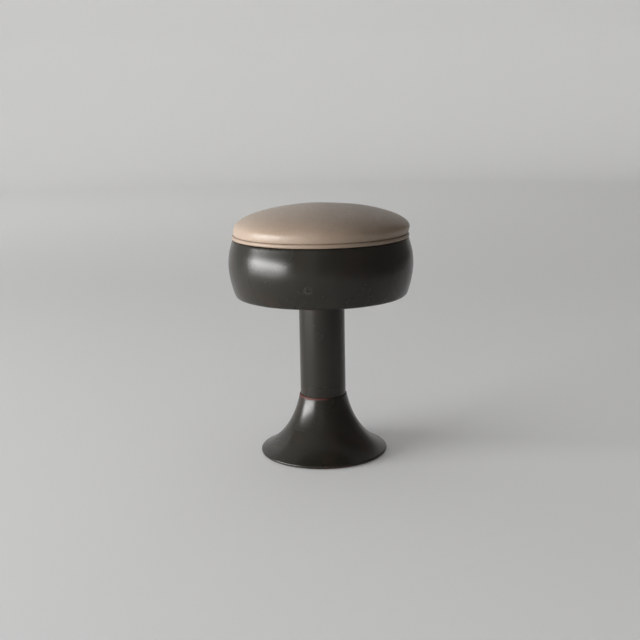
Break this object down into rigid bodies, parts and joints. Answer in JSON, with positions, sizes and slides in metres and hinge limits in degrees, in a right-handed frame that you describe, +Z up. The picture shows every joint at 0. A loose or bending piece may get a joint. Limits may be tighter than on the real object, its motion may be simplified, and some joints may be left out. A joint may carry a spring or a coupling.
{
  "type": "swivel pedestal stool",
  "caption": "Round upholstered stool whose padded seat and open metal drum turn on a ball-race swivel above a tubular column with a flared base.",
  "frame": {"origin": "on the floor, on the swivel axis, under the middle of the stool", "axes": "+Z up along the swivel axis; the stool looks the same from every side, so +X is free"},
  "size_m": [0.356, 0.356, 0.491],
  "materials": {
    "dark_enamel": "dark olive-brown satin enamel on sheet steel",
    "taupe_leather": "smooth taupe upholstery leather with a soft sheen",
    "foam": "soft upholstery foam",
    "plywood": "unfinished plywood",
    "cast_iron": "as cast",
    "zinc_plate": "zinc-plated pressed steel",
    "bright_steel": "bright steel",
    "brass": "plain brass sheet",
    "black_rubber": "matt black rubber"
  },
  "bodies": {
    "pedestal": {"foot_ring": "black_rubber", "base_plate": "cast_iron", "flared_base": "dark_enamel", "base_screw_1": "bright_steel", "base_screw_2": "bright_steel", "base_screw_3": "bright_steel", "base_screw_4": "bright_steel", "column_tube": "dark_enamel", "column_plug": "cast_iron", "column_cap": "cast_iron", "tie_rod": "bright_steel", "lower_nut": "bright_steel", "lower_washer": "bright_steel", "upper_nut": "bright_steel", "upper_washer": "bright_steel", "swivel_lower_plate": "zinc_plate", "lower_plate_screw_1": "bright_steel", "lower_plate_screw_2": "bright_steel", "lower_plate_screw_3": "bright_steel", "lower_plate_screw_4": "bright_steel"},
    "bearing": {"ball_cage": "brass", "swivel_ball_01": "bright_steel", "swivel_ball_02": "bright_steel", "swivel_ball_03": "bright_steel", "swivel_ball_04": "bright_steel", "swivel_ball_05": "bright_steel", "swivel_ball_06": "bright_steel", "swivel_ball_07": "bright_steel", "swivel_ball_08": "bright_steel", "swivel_ball_09": "bright_steel", "swivel_ball_10": "bright_steel", "swivel_ball_11": "bright_steel", "swivel_ball_12": "bright_steel"},
    "seat": {"swivel_upper_plate": "zinc_plate", "swivel_eyelet": "zinc_plate", "seat_bolt_1": "bright_steel", "seat_bolt_2": "bright_steel", "seat_bolt_3": "bright_steel", "seat_bolt_4": "bright_steel", "tee_nut_1": "zinc_plate", "tee_nut_2": "zinc_plate", "tee_nut_3": "zinc_plate", "tee_nut_4": "zinc_plate", "seat_board": "plywood", "seat_foam": "foam", "seat_cover": "taupe_leather", "seat_welt": "taupe_leather", "drum_shell": "dark_enamel", "drum_ring": "dark_enamel", "drum_screw_1": "bright_steel", "drum_screw_2": "bright_steel", "drum_screw_3": "bright_steel", "drum_screw_4": "bright_steel", "drum_screw_5": "bright_steel", "drum_screw_6": "bright_steel"}
  },
  "joints": [
    {"name": "seat_swivel", "type": "hinge", "parent": "pedestal", "child": "seat", "pos_m": [0, 0, 0.4224], "axis": [0, 0, 1], "continuous": true},
    {"name": "cage_roll", "type": "hinge", "parent": "pedestal", "child": "bearing", "pos_m": [0, 0, 0.4224], "axis": [0, 0, 1], "continuous": true}
  ],
  "couplings": [
    {"joint": "cage_roll", "follows": "seat_swivel", "ratio": 0.5}
  ]
}
